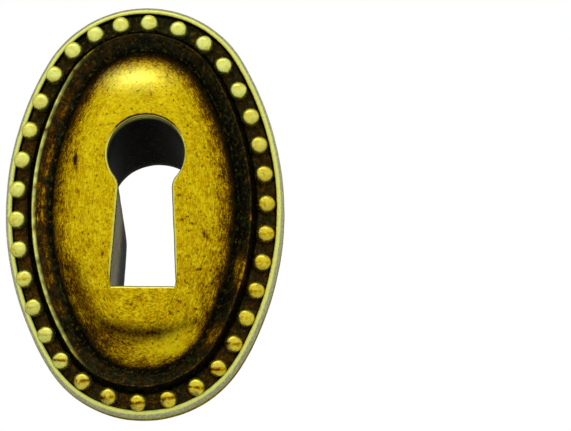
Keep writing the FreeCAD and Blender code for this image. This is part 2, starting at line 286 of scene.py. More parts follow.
@dataclass
class Keyhole:
    """Outline of the keyhole: a round top on a slot that widens towards its foot.

    It leans a little at the front and is wider, with a softer neck, at the back.
    """

    radius: float = 3.52
    centre: float = 4.85
    neck: float = 2.41
    foot: float = 3.02
    bottom: float = 7.602
    neck_round: float = 1.1
    back_neck_round: float = 3.2
    foot_round: float = 0.3
    tilt: float = 1.29
    tilt_pivot: float = -9.4
    flare: float = 0.18
    lift: float = 0.1
    samples: int = 400
    outline: list[tuple[Vector, Vector]] = field(default_factory=list)
    back: list[tuple[Vector, Vector]] = field(default_factory=list)

    def trace(self, count: int) -> None:
        """Samples the outline in front and the softer one at the back.

        Args:
            count: number of points in each.
        """
        self.outline = self._sample(count, self.neck_round)
        self.back = self._sample(count, self.back_neck_round)

    def _sample(self, count: int, neck_round: float) -> list[tuple[Vector, Vector]]:
        """Samples an outline evenly, clockwise from the top.

        Args:
            count: number of points.
            neck_round: how far its neck is rounded.

        Returns:
            The points, each with the direction away from the hole.
        """
        drop = math.sqrt(self.radius ** 2 - self.neck ** 2)
        neck = Vector((self.neck, self.centre - drop))
        foot = Vector((self.foot, -self.bottom))
        centre = Vector((0, self.centre))
        stop = math.atan2(neck.x, neck.y - self.centre)
        angles = [stop * index / self.samples for index in range(self.samples)]
        half = [centre + self.radius * Vector((math.sin(angle), math.cos(angle))) for angle in angles]
        half += [neck.lerp(foot, index / self.samples) for index in range(self.samples)]
        short = self.samples // 2
        half += [foot.lerp(Vector((0, foot.y)), index / short) for index in range(short + 1)]
        half = self._soften(half, neck, neck_round)
        half = self._soften(half, foot, self.foot_round)
        whole = half + [Vector((-point.x, point.y)) for point in reversed(half[1:-1])]
        lengths = [0.0]
        for first, last in zip(whole, whole[1:] + whole[:1]):
            lengths.append(lengths[-1] + (last - first).length)
        points = []
        at = 0
        for index in range(count):
            run = lengths[-1] * index / count
            while lengths[at + 1] < run:
                at += 1
            t = (run - lengths[at]) / max(1e-9, lengths[at + 1] - lengths[at])
            points.append(whole[at].lerp(whole[(at + 1) % len(whole)], t))
        outline = []
        for index, point in enumerate(points):
            along = points[(index + 1) % count] - points[index - 1]
            outline.append((point, Vector((-along.y, along.x)).normalized()))
        return outline

    def ring(self, out: float, y: float) -> list[Vector]:
        """Places the outline at a depth.

        Args:
            out: distance away from the hole.
            y: place along the barrel's axis.

        Returns:
            The points in x, z.
        """
        deep = min(1.0, max(0.0, (y - FRONT) / (BARREL_LENGTH - FRONT)))
        lean = math.radians(self.tilt) * (1 - deep)
        points = []
        for (near, away), (far, far_away) in zip(self.outline, self.back):
            spot = near.lerp(far, deep) + away.lerp(far_away, deep) * out
            across = spot.x * (1 + self.flare * deep)
            rise = spot.y + self.lift * deep * smooth(0.0, 6.0, spot.y) - self.tilt_pivot
            x = across * math.cos(lean) + rise * math.sin(lean)
            points.append(Vector((x, self.tilt_pivot + rise * math.cos(lean) - across * math.sin(lean))))
        return points

    def top_share(self, spot: Vector) -> float:
        """How far a point of the outline belongs to the top of the round end, 0 to 1."""
        return smooth(0.35, 0.8, (spot.y - self.centre) / self.radius)

    @staticmethod
    def _soften(points: list[Vector], corner: Vector, radius: float) -> list[Vector]:
        """Rounds a corner of a dense line by drawing its near points along a curve.

        Args:
            points: the dense line.
            corner: the corner to round.
            radius: how far from the corner the round reaches, about.

        Returns:
            The line with the corner rounded.
        """
        near = [index for index, point in enumerate(points) if (point - corner).length < radius * 0.7]
        first, last = near[0], near[-1]
        start, stop = points[first].copy(), points[last].copy()
        for index in near:
            t = (index - first) / (last - first)
            points[index] = start.lerp(corner, t).lerp(corner.lerp(stop, t), t)
        return points


@dataclass
class Barrel:
    """The fluted barrel: a plain neck, ribs cut by grooves that run out, and a rounded end."""

    length: float = BARREL_LENGTH
    crest: float = 10.1
    tip: float = 9.5
    tip_round: float = 0.75
    neck_length: float = 0.85
    neck_slope: float = 0.35
    flutes: int = 38
    per_flute: int = 12
    in_groove: int = 7
    groove_radius: float = 0.45
    groove_depth: float = 0.42
    groove_end: float = 1.0
    relief: float = 0.06
    run_out: float = 1.2
    end_steps: int = 7
    body_steps: int = 14
    brow: float = 14.15
    neck_rings: tuple[float, ...] = (0.5, 0.2, 0.06, 0.0)

    @property
    def neck(self) -> float:
        """Radius of the plain neck."""
        return self.crest - self.groove_depth - self.relief

    def outside(self, y: float) -> float:
        """Radius of the ungrooved barrel at a distance behind the plate."""
        start = self.neck_length + self.neck_slope
        edge = self.length - self.tip_round
        if y < self.neck_length:
            return self.neck
        if y < start:
            return lerp(self.neck, self.crest, (y - self.neck_length) / self.neck_slope)
        if y < edge:
            return lerp(self.crest, self.tip, (y - start) / (edge - start))
        rise = min(1.0, (y - edge) / self.tip_round)
        return self.tip - self.tip_round * (1 - math.sqrt(max(0.0, 1 - rise * rise)))

    def axis(self, y: float) -> float:
        """Height of the groove cutter's axis at a distance behind the plate."""
        start = self.neck_length + self.neck_slope
        stop = self.length - self.groove_end
        run = min(1.0, max(0.0, (y - start) / (stop - start)))
        return self.outside(y) + self.groove_radius - self.groove_depth * (1 - run ** 4)

    def ring(self, y: float) -> list[tuple[float, float, float]]:
        """Places the points of one ring of the barrel.

        Args:
            y: distance behind the plate.

        Returns:
            For each point its angle from the top, its radius and how deep it lies in a groove, 0 to 1.
        """
        outside = self.outside(y)
        gap = self.axis(y) - outside
        half = math.sqrt(max(0.0, self.groove_radius ** 2 - gap * gap)) if gap < self.groove_radius else 0.0
        if y <= self.neck_length:
            half = 0.0
        pitch = 2 * math.pi / self.flutes
        spread = max(half, 0.05) / outside
        points = []
        for flute in range(self.flutes):
            for index in range(self.per_flute):
                if index < self.in_groove:
                    offset = spread * (2 * index / (self.in_groove - 1) - 1)
                else:
                    rest = self.per_flute - self.in_groove + 1
                    offset = lerp(spread, pitch - spread, (index - self.in_groove + 1) / rest)
                radius = outside
                deep = 0.0
                across = offset * outside
                if half > 0 and abs(across) < half:
                    cut = self.axis(y) - math.sqrt(self.groove_radius ** 2 - across * across)
                    radius = min(outside, cut)
                    deep = min(1.0, (outside - radius) / self.groove_depth)
                points.append((flute * pitch + offset, radius, deep))
        return points

    def rings(self) -> list[float]:
        """Distances behind the plate of the barrel's rings, from its end to the plate."""
        start = self.neck_length + self.neck_slope
        stop = self.length - self.groove_end
        full = stop - self.run_out
        angles = [math.pi / 2 * step / self.end_steps for step in range(self.end_steps, -1, -1)]
        values = [self.length - self.tip_round * (1 - math.sin(angle)) for angle in angles]
        values += [self.brow, stop + 0.02]
        values += [lerp(stop, full, step / self.end_steps) for step in range(1, self.end_steps + 1)]
        values += [lerp(full, start + 0.06, step / self.body_steps) for step in range(1, self.body_steps + 1)]
        values += [start - 0.03, start - 0.12, lerp(start, self.neck_length, 0.7), self.neck_length]
        return values + list(self.neck_rings)


@dataclass(frozen=True)
class Mark:
    """A nick, scratch or rubbed spot on the front, or the soft spot of a painted highlight: its place, size,
    lean and change to the rub or the paleness.
    """

    x: float
    z: float
    across: float
    along: float
    lean: float
    change: float

    def effect(self, x: float, z: float) -> float:
        """How much the mark changes a point."""
        angle = math.radians(self.lean)
        dx, dz = x - self.x, z - self.z
        u = (dx * math.cos(angle) + dz * math.sin(angle)) / self.across
        v = (dz * math.cos(angle) - dx * math.sin(angle)) / self.along
        return self.change * math.exp(-(u * u + v * v))


@dataclass(frozen=True)
class PaintedReflectionBand:
    """A soft dark band of painted reflection, the dark that the crown's lower slope mirrors, along a path of
    points on the front.
    """

    path: tuple[tuple[float, float], ...]
    width: float
    strength: float

    def weight(self, x: float, z: float) -> float:
        """How strongly the band shows at a point."""
        spot = Vector((x, z))
        near = math.inf
        for first, last in zip(self.path, self.path[1:]):
            start, run = Vector(first), Vector(last) - Vector(first)
            t = min(1.0, max(0.0, (spot - start).dot(run) / run.length_squared))
            near = min(near, (spot - start - run * t).length)
        return self.strength * math.exp(-((near / self.width) ** 2))


@dataclass
class Rubbing:
    """How far the black has been rubbed off the front: 0 is black in a hollow, 1 is bright brass.

    Each side's column gives the rub at the insets, from the outer edge over the beads' bed, the
    raised line, the moat and the crease at its end to the crown. On the crown's right and top
    flanks the lower rub is partly wear and partly painted shade. The class also holds the front's
    painted highlights and painted reflection bands.
    """

    insets: tuple[float, ...] = (
        0.0, 0.14, 0.24, 0.34, 0.45, 0.56, 0.72, 2.1, 2.64, 2.71, 2.78, 2.86,
        3.15, 3.3, 3.6, 3.85, 4.15, 4.5, 4.8, 5.3, 5.7, 6.2, 7.0,
    )
    left: tuple[float, ...] = (
        0.55, 0.5, 0.5, 0.95, 0.7, 0.2, 0.2, 0.15, 0.04, 0.8, 0.7, 0.08,
        0.4, 0.2, 0.42, 0.2, 0.04, 0.52, 0.6, 0.6, 0.74, 0.86, 0.88,
    )
    right: tuple[float, ...] = (
        0.55, 0.5, 0.5, 0.8, 0.95, 0.7, 0.13, 0.11, 0.1, 0.2, 0.16, 0.08,
        0.05, 0.03, 0.06, 0.03, 0.03, 0.18, 0.36, 0.52, 0.66, 0.8, 0.86,
    )
    top: tuple[float, ...] = (
        0.55, 0.5, 0.5, 0.95, 0.9, 0.4, 0.03, 0.04, 0.06, 0.2, 0.2, 0.1,
        0.14, 0.06, 0.14, 0.05, 0.03, 0.1, 0.22, 0.44, 0.68, 0.86, 0.93,
    )
    bottom: tuple[float, ...] = (
        0.55, 0.5, 0.5, 0.95, 0.7, 0.2, 0.14, 0.13, 0.08, 0.26, 0.24, 0.1,
        0.12, 0.06, 0.12, 0.06, 0.0, 0.36, 0.62, 0.7, 0.74, 0.76, 0.8,
    )
    marks: tuple[Mark, ...] = (
        Mark(-6.2, 4.5, 0.16, 0.75, 0.0, -0.85),
        Mark(-3.6, -4.6, 0.2, 0.2, 0.0, -0.6),
        Mark(-5.9, 1.5, 0.18, 0.18, 0.0, -0.5),
        Mark(5.7, -2.8, 0.14, 0.6, 28.0, -0.6),
        Mark(3.6, -1.5, 0.32, 0.13, 0.0, -0.45),
        Mark(4.6, -1.9, 0.3, 0.13, 0.0, -0.4),
        Mark(5.1, -6.1, 0.22, 0.13, 0.0, -0.4),
        Mark(8.9, -5.8, 0.7, 1.4, -4.0, 0.7),
        Mark(6.4, -11.8, 0.7, 1.1, -35.0, 0.5),
        Mark(10.1, -1.0, 0.16, 0.3, 0.0, 0.35),
        Mark(-6.0, -7.4, 0.8, 2.8, 18.0, -0.22),
        Mark(2.8, -12.8, 1.9, 1.0, 14.0, 0.5),
        Mark(-4.2, -12.0, 2.5, 0.9, -28.0, -0.34),
    )
    # Painted reflection: soft dark bands along the crown's foot and its lower left flank, where the crown
    # mirrors something dark.
    bands: tuple[PaintedReflectionBand, ...] = (
        PaintedReflectionBand(((-3.6, -11.1), (-2.0, -11.75), (0.2, -12.05), (1.6, -11.95)), 0.74, 0.98),
        PaintedReflectionBand(((1.6, -11.95), (2.6, -11.7)), 0.6, 0.85),
        PaintedReflectionBand(((2.6, -11.7), (4.0, -11.1)), 0.5, 0.55),
        PaintedReflectionBand(((-6.4, -5.4), (-5.6, -8.4), (-4.8, -10.0), (-3.6, -11.1)), 0.65, 0.72),
    )
    # Painted highlight along the outer edge, palest at the outside.
    pale_insets: tuple[tuple[float, float], ...] = (
        (0.0, 0.8), (0.22, 0.8), (0.3, 0.5), (0.36, 0.44), (0.5, 0.4), (0.62, 0.0),
    )
    # Painted highlight: a soft pale spot round the lamp's highlight on the crown's top.
    painted_top_highlight: Mark = Mark(-0.8, 12.1, 2.6, 1.1, 0.0, 0.2)
    line: tuple[float, float] = (2.66, 2.88)
    moat_end: float = 4.2
    crease: float = 4.12
    crown: float = 5.0
    painted_reflection_below: float = -4.0
    oval: Oval = field(default_factory=Oval)
    tables: dict[Side, tuple[tuple[float, float], ...]] = field(init=False)

    def __post_init__(self) -> None:
        """Pairs each side's column with the insets."""
        columns = zip(Side, (self.left, self.right, self.top, self.bottom))
        self.tables = {side: tuple(zip(self.insets, column)) for side, column in columns}

    def pale(self, x: float, z: float, inset: float) -> float:
        """How pale the metal is at a point of the front, in painted highlights: the outer edge, the line's
        left, the top.
        """
        if inset > self.crown:
            return self.painted_top_highlight.effect(x, z)
        # Painted highlight on the raised line's left, made uneven.
        if self.line[0] < inset < self.line[1]:
            uneven = 0.28 + 0.4 * noise.noise(Vector((x, 0.0, z)) * 1.5)
            return uneven * smooth(0.3, 0.8, -x / self.oval.half_width)
        return from_table(self.pale_insets, inset)

    def shade(self, x: float, z: float) -> float:
        """How strongly the painted reflection bands darken a point of the front."""
        return max(band.weight(x, z) for band in self.bands) if z < self.painted_reflection_below else 0.0

    def front(self, x: float, z: float, inset: float) -> float:
        """Reads the rub of a point on the front.

        Args:
            x: distance to the right of the middle.
            z: height above the middle.
            inset: distance inside the outline.

        Returns:
            The rub, 0 to 1.
        """
        across, up = x / self.oval.half_width, z / self.oval.half_height
        reach = math.hypot(across, up) or 1.0
        total, value = 0.0, 0.0
        for side, table in self.tables.items():
            weight = max(0.0, across / reach * side.value[0] + up / reach * side.value[1]) ** 2
            if weight > 0:
                total += weight
                value += weight * from_table(table, inset)
        value /= total
        if self.line[0] < inset < self.moat_end:
            value *= 1 + 0.9 * noise.noise(Vector((x, 0.0, z)) * 0.9)
        for mark in self.marks:
            value += mark.effect(x, z)
        if self.line[1] < inset < self.moat_end:
            value = min(value, lerp(0.42, 0.58, smooth(2.9, 3.3, inset)))
        value *= 1 - 0.9 * math.exp(-(((inset - self.crease) / 0.2) ** 2))
        return min(1.0, max(0.0, value))


@dataclass
class Ring:
    """One ring of the skin: its points, how far each is rubbed, how pale its painted highlights make it, and
    how far the painted reflection band darkens it.
    """

    points: list[Vector] = field(default_factory=list)
    rub: list[float] = field(default_factory=list)
    pale: list[float] = field(default_factory=list)
    shade: list[float] = field(default_factory=list)

    @classmethod
    def even(cls, points: list[Vector], rub: float, pale: float = 0.0) -> "Ring":
        """Makes a ring with one finish all round."""
        count = len(points)
        return cls(points, [rub] * count, [pale] * count, [0.0] * count)


@dataclass
class Casting:
    """The casting without its beads, as one skin.

    Its rings run from the edge of the plate's back over the front, down the keyhole, over the
    barrel's end, along the flutes and over the plate's back to where they began. The rows of
    rim_finish are the rub and paleness of each ring round the keyhole's rim, then both at the
    top of its round end.
    """

    oval: Oval = field(default_factory=Oval)
    section: Section = field(default_factory=Section)
    keyhole: Keyhole = field(default_factory=Keyhole)
    barrel: Barrel = field(default_factory=Barrel)
    rubbing: Rubbing = field(default_factory=Rubbing)
    rim_round: float = 0.3
    ripple: float = 0.022
    last_oval: float = 7.6
    flank: float = 4.4
    crown_steps: int = 20
    flat_steps: int = 6
    edge_heights: tuple[float, float] = (0.9, 1.6)
    edge_rub: float = 0.62
    # Painted highlight: the paleness along the rim's lip and in the crescent at the top of the round end.
    rim_finish: tuple[tuple[float, float, float, float], ...] = (
        (0.95, 0.1, 0.3, 0.0),
        (0.95, 0.3, 0.3, 0.0),
        (0.95, 0.42, 0.8, 0.6),
        (0.95, 0.46, 0.8, 0.6),
        (0.5, 0.2, 0.8, 0.6),
    )
    hole_depths: tuple[float, ...] = (
        -4.12, -4.0, -3.7, -3.0, -2.0, -1.0, 0.5, 2.5, 5.0, 8.0, 11.0, 13.5, 14.85,
    )
    hole_end: tuple[tuple[float, float], ...] = ((0.04, 14.95), (0.14, 15.0))
    # Painted light on the keyhole's wall: the pale highlight of the worn mouth and the lit left side of the
    # slot.
    worn_depths: tuple[float, float] = (-4.25, -3.2)
    lit_depths: tuple[float, float] = (0.0, 11.0)
    hole_rub: tuple[float, float] = (0.02, 0.85)
    hole_pale: float = 0.42
    lit_rub: float = 0.75
    lit_pale: float = 0.16
    end_rub: float = 0.62
    groove_rub: float = 0.02
    neck_rub: float = 0.06
    rib_rub: tuple[float, float] = (0.94, 0.76)
    rib_fade: tuple[float, float] = (13.6, 14.8)
    back_rub: tuple[float, float] = (0.1, 0.4)
    seam: float = 1e-7

    @property
    def around(self) -> int:
        """Number of points in each ring."""
        return self.barrel.flutes * self.barrel.per_flute

    def _front_ring(self, spots: list[tuple[float, float, float, float]], shift: float = 0.0) -> Ring:
        """Makes a ring of the front, rubbed as the front is there.

        Args:
            spots: x, z, inset and height of each point.
            shift: how far the ring lies to the side.

        Returns:
            The ring.
        """
        ring = Ring()
        for x, z, inset, height in spots:
            high = smooth(*self.edge_heights, height)
            ring.points.append(Vector((x + shift, -height, z)))
            ring.rub.append(lerp(self.edge_rub, self.rubbing.front(x, z, inset), high))
            ring.pale.append(self.rubbing.pale(x, z, inset) * high)
            ring.shade.append(self.rubbing.shade(x, z))
        return ring

    def rosette_rings(self) -> list[Ring]:
        """Places the oval rings, from the edge of the back to the slope of the crown.

        Returns:
            The rings in order.
        """
        rings = []
        for station in self.section.stations():
            if station.inset <= self.last_oval:
                points = self._oval_points(station.inset)
                spots = [(x, z, station.inset, station.height) for x, z in points]
                rings.append(self._front_ring(spots, station.shift))
        return rings

    def crown_rings(self, start: list[Vector]) -> list[Ring]:
        """Places the rings that turn from an oval into the keyhole's outline.

        Args:
            start: the last oval's points.

        Returns:
            The rings after it.
        """
        rim = self.keyhole.ring(self.rim_round, FRONT)
        stations = self.section.stations()
        heights = tuple((place.inset, place.height) for place in stations if place.inset > self.flank)
        rings = []
        for step in range(1, self.crown_steps + 1):
            t = step / self.crown_steps
            spots = []
            for outer, inner in zip(start, rim):
                x, z = lerp(outer.x, inner.x, t), lerp(outer.z, inner.y, t)
                inset = self.oval.inset_of(x, z)
                spots.append((x, z, inset, from_table(heights, inset)))
            rings.append(self._front_ring(spots))
        return rings

    def rim_rings(self, edge: list[Vector]) -> list[Ring]:
        """Rounds the keyhole's rim: a bright lip with a painted highlight, dark at the top with a pale
        crescent of painted highlight inside.

        Args:
            edge: points of the ring where the round starts.

        Returns:
            The rings after it.
        """
        rings = []
        for step, (rub, pale, top_rub, top_pale) in enumerate(self.rim_finish, start=1):
            angle = math.pi / 2 * step / len(self.rim_finish)
            sink = self.rim_round * (1 - math.cos(angle))
            outline = self.keyhole.ring(self.rim_round * (1 - math.sin(angle)), FRONT)
            points = [Vector((spot.x, before.y + sink, spot.y)) for before, spot in zip(edge, outline)]
            tops = [self.keyhole.top_share(spot) for spot in outline]
            ring = Ring.even(points, rub)
            ring.rub = [lerp(rub, top_rub, top) for top in tops]
            ring.pale = [lerp(pale, top_pale, top) for top in tops]
            rings.append(ring)
        return rings

    def hole_rings(self) -> list[Ring]:
        """Places the rings down the keyhole's wall and over the barrel's end.

        The wall is black, but for its worn mouth, paled by a painted highlight, and the slot's left side,
        which catches light, painted in as rubbed, paler brass.

        Returns:
            The rings in order.
        """
        rings = []
        for y in self.hole_depths:
            wall = self.keyhole.ring(0.0, y)
            worn = 1 - smooth(*self.worn_depths, y)
            ring = Ring.even([Vector((spot.x, y, spot.y)) for spot in wall], lerp(*self.hole_rub, worn))
            for index, spot in enumerate(wall):
                lit = smooth(0.5, 2.0, -spot.x) * (1 - smooth(0.5, 2.5, spot.y))
                lit *= 1 - smooth(*self.lit_depths, y)
                ring.rub[index] = max(ring.rub[index], self.lit_rub * lit)
                ring.pale[index] = max(self.hole_pale * worn, self.lit_pale * lit)
            rings.append(ring)
        for out, y in self.hole_end:
            rings.append(Ring.even([Vector((spot.x, y, spot.y)) for spot in self.keyhole.ring(out, y)], 0.5))
        mouth = [(point.x, point.z) for point in rings[-1].points]
        flat = self._circle(self.barrel.tip - self.barrel.tip_round)
        return rings + self._flat_rings(mouth, flat, self.barrel.length, (self.end_rub, self.end_rub))

    def barrel_rings(self) -> list[Ring]:
        """Places the rings of the barrel's outside and of the rosette's back.

        Returns:
            The rings in order.
        """
        rings = []
        half = self.barrel.in_groove // 2
        for y in self.barrel.rings()[1:]:
            placed = self.barrel.ring(y)
            rib = lerp(*self.rib_rub, smooth(*self.rib_fade, y)) if y > 1.0 else self.neck_rub
            points, rubs = [], []
            for angle, radius, deep in placed[half:] + placed[:half]:
                points.append(Vector((radius * math.sin(angle), y, radius * math.cos(angle))))
                rubs.append(lerp(rib, self.groove_rub, smooth(0.02, 0.2, deep)))
            ring = Ring.even(points, rib)
            ring.rub = rubs
            rings.append(ring)
        edge = self._oval_points(self.section.stations()[0].inset)
        return rings + self._flat_rings(self._circle(self.barrel.neck), edge, 0.0, self.back_rub)

    def _oval_points(self, inset: float) -> list[tuple[float, float]]:
        """The x and z of one ring's points on the oval at an inset, clockwise from the top."""
        return [self.oval.at(index / self.around, inset) for index in range(self.around)]

    def _circle(self, radius: float) -> list[tuple[float, float]]:
        """The x and z of one ring's points on a circle, clockwise from the top."""
        angles = [2 * math.pi * index / self.around for index in range(self.around)]
        return [(radius * math.sin(angle), radius * math.cos(angle)) for angle in angles]

    def _flat_rings(
        self,
        start: list[tuple[float, float]],
        stop: list[tuple[float, float]],
        y: float,
        rubs: tuple[float, float],
    ) -> list[Ring]:
        """Divides a flat face between two outlines.

        Args:
            start: x and z of the first outline, which has its ring already.
            stop: x and z of the last outline.
            y: where the face lies.
            rubs: how far it is rubbed at each of the two.

        Returns:
            The rings after the first outline.
        """
        rings = []
        for step in range(1, self.flat_steps + 1):
            t = step / self.flat_steps
            points = [Vector((lerp(a, c, t), y, lerp(b, d, t))) for (a, b), (c, d) in zip(start, stop)]
            rings.append(Ring.even(points, lerp(*rubs, t)))
        return rings

    def ripples(self, point: Vector) -> Vector:
        """Small unevenness of a hand-finished casting: slow waves with quicker, weaker ones on them."""
        slow = noise.noise_vector(point * 0.33 + Vector((7.1, 3.3, 1.7)))
        quick = noise.noise_vector(point * 1.3 + Vector((1.9, 8.2, 4.4)))
        return (slow + quick * 0.45) * self.ripple

    def skin(self, mesh: bmesh.types.BMesh) -> None:
        """Builds the closed skin: a grid wrapped over the rings and sewn up along its borders.

        Args:
            mesh: the mesh to add it to.
        """
        rub, pale, shade = (mesh.verts.layers.float[name] for name in FLOAT_LAYERS)
        grain, bead = (mesh.verts.layers.float_vector[name] for name in VECTOR_LAYERS)
        count = self.around
        self.keyhole.trace(count)
        rings = self.rosette_rings()
        rings += self.crown_rings(rings[-1].points)
        rings += self.rim_rings(rings[-1].points)
        rings += self.hole_rings() + self.barrel_rings()
        runs = [0.0]
        for before, after in zip(rings, rings[1:]):
            runs.append(runs[-1] + (after.points[0] - before.points[0]).length)
        reach = [sum(math.hypot(point.x, point.z) for point in ring.points) / count for ring in rings]
        last = len(rings) - 1
        sheet = bmesh.ops.create_grid(mesh, x_segments=count, y_segments=last, size=1.0)["verts"]
        for vert in sheet:
            index = round((vert.co.x + 1) / 2 * count) % count
            number = round((vert.co.y + 1) / 2 * last)
            ring = rings[number]
            angle = 2 * math.pi * index / count
            vert[rub] = ring.rub[index]
            vert[pale] = ring.pale[index]
            vert[shade] = ring.shade[index]
            vert[bead] = OFF_THE_BEADS
            round_it = reach[number]
            vert[grain] = Vector((round_it * math.sin(angle), round_it * math.cos(angle), runs[number]))
            vert.co = (ring.points[index] + self.ripples(ring.points[index])) * MM
        bmesh.ops.remove_doubles(mesh, verts=sheet, dist=self.seam)


@dataclass
class BeadRow:
    """The row of beads: domes on stems sunk in the casting, none quite where an even row has it.

    The rows of drift and inward give, for a bead's number from the top clockwise, how far it sits
    along the row and inside it. The listed beads carry a fine dark line of painted reflection.
    """

    oval: Oval = field(default_factory=Oval)
    count: int = 34
    inset: float = 1.4
    radius: float = 0.88
    height: float = 2.7
    start: float = 0.56
    shift: float = -0.2
    segments: int = 24
    rings: int = 16
    sink: float = 0.79
    drift: tuple[tuple[float, float], ...] = (
        (0, 0.08), (3, 0.28), (6, 0.29), (9, 0.42), (12, 0.22), (15, -0.2), (18, -0.2), (21, -0.02),
        (24, 0.14), (27, 0.3), (29, 0.5), (31, 0.64), (33, 0.2), (34, 0.08),
    )
    inward: tuple[tuple[float, float], ...] = (
        (0, 0.2), (3, 0.2), (5, 0.0), (8, 0.0), (11, -0.12), (15, -0.12), (17, -0.04), (19, 0.2),
        (21, 0.05), (23, -0.08), (30, -0.02), (32, 0.1), (34, 0.2),
    )
    reflection_lined: range = range(8, 26)
    rub: tuple[float, float] = (0.1, 0.96)
    # Paleness of the beads, least to most: painted light, most on the upper and left beads.
    pale: tuple[float, float] = (0.12, 0.46)

    def add(self, mesh: bmesh.types.BMesh) -> None:
        """Adds the beads to the casting's mesh.

        Args:
            mesh: the mesh to add them to.
        """
        rub, pale, _ = (mesh.verts.layers.float[name] for name in FLOAT_LAYERS)
        grain, local = (mesh.verts.layers.float_vector[name] for name in VECTOR_LAYERS)
        length = 4 * self.oval.quarter(self.inset)
        for number in range(self.count):
            fraction = (self.start + from_table(self.drift, number)) / length + number / self.count
            x, z = self.oval.at(fraction, self.inset + from_table(self.inward, number), walk=self.inset)
            middle = Vector((x + self.shift, self.radius - self.height, z))
            seed = Vector((number * 3.7, number * 1.3, 5.0))
            radius = self.radius * (1 + 0.03 * noise.noise(seed))
            # Painted reflection: a dark line across the middle of the listed beads, strongest on the lowest.
            line = lerp(0.3, 1.0, smooth(11.0, 15.0, -z)) if number in self.reflection_lined else 0.0
            # Painted shade: each bead is darker on its lower left, the lower beads most. Painted light: the
            # upper and left beads are palest, each on its front.
            low = smooth(6.0, 12.0, number) * (1 - smooth(22.0, 28.0, number))
            light = lerp(*self.pale, max(smooth(2.0, 15.0, z), 0.75 * smooth(2.0, 9.0, -x)))
            rise, bend = 0.16 + 0.2 * noise.noise(seed * 2), 0.3 * noise.noise(seed * 3)
            made = bmesh.ops.create_uvsphere(
                mesh, u_segments=self.segments, v_segments=self.rings, radius=1.0
            )
            for vert in made["verts"]:
                spot = self._dome(Vector((vert.co.x, -vert.co.z, vert.co.y)), radius, seed)
                up, side = -spot.y / radius, (-spot.x - spot.z) / radius
                bead_noise = noise.noise(spot * 2.0 + seed * 1.7)
                bright = lerp(*self.rub, smooth(-0.85, -0.3, up))
                curve = rise + spot.x * bend - 0.2 * spot.x ** 2
                vert.co = (middle + spot) * MM
                vert[rub] = bright - (0.08 + low * 0.34) * smooth(0.3, 1.2, side + bead_noise)
                vert[pale] = light * smooth(-0.5, 0.3, up) * (0.9 + 0.7 * bead_noise)
                vert[local] = Vector((spot.x + number, spot.z + curve, line * smooth(0.3, 0.8, up)))
                vert[grain] = middle + spot + seed

    def _dome(self, unit: Vector, radius: float, seed: Vector) -> Vector:
        """Turns a point of a unit ball into a point of a bead.

        Args:
            unit: point of the ball, -Y to the front.
            radius: the bead's radius.
            seed: gives each bead its own unevenness.

        Returns:
            The point, from the bead's middle.
        """
        out = math.hypot(unit.x, unit.z)
        if unit.y > 0:
            wide = 1.03 / max(out, 1e-6)
            spot = Vector((unit.x * wide, unit.y * 1.4, unit.z * wide)) if out > 0.2 else unit.copy()
        else:
            high = max(0.0, 1 - out ** 2.5) ** 0.5
            spot = Vector((unit.x, -high, unit.z))
        bump = noise.noise(spot * 1.3 + seed) * 0.035 + noise.noise(spot * 3.2 + seed) * 0.014
        spot *= radius * (1 + bump)
        spot.y = max(spot.y, -self.sink)
        return spot


@dataclass(frozen=True)
class Pattern:
    """One noise of the finish: the width of its features in millimetres, detail and roughness."""

    size: float
    detail: float
    roughness: float


